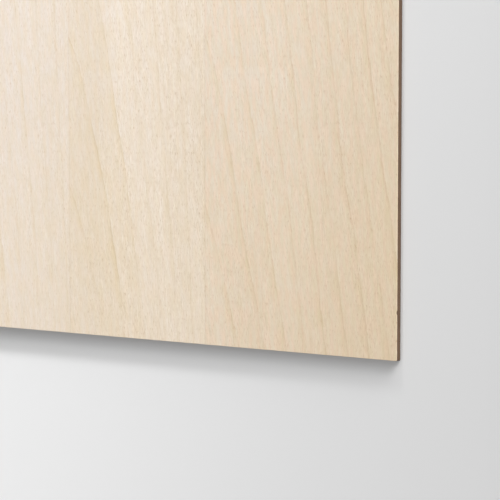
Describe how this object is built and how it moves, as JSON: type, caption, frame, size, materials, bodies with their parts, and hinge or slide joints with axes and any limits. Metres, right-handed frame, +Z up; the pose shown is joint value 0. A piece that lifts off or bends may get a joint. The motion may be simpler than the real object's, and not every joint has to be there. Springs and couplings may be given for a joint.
{
  "type": "wood veneer sheet",
  "caption": "Flat rectangular sheet of pale maple veneer bonded to a thin brown backing board, with square-cut brown edges.",
  "frame": {"origin": "centre of the sheet's underside, which rests on the floor", "axes": "+Z up through the thickness, out of the veneered face; +Y along the grain; +X across the grain"},
  "size_m": [0.305, 0.61, 0.0032],
  "materials": {
    "maple_veneer": "fine straight grain, sanded, satin",
    "brown_board": "pressed fibre, raw cut, matt"
  },
  "bodies": {
    "root": {"backing_board": "brown_board", "face_veneer": "maple_veneer"}
  },
  "joints": []
}
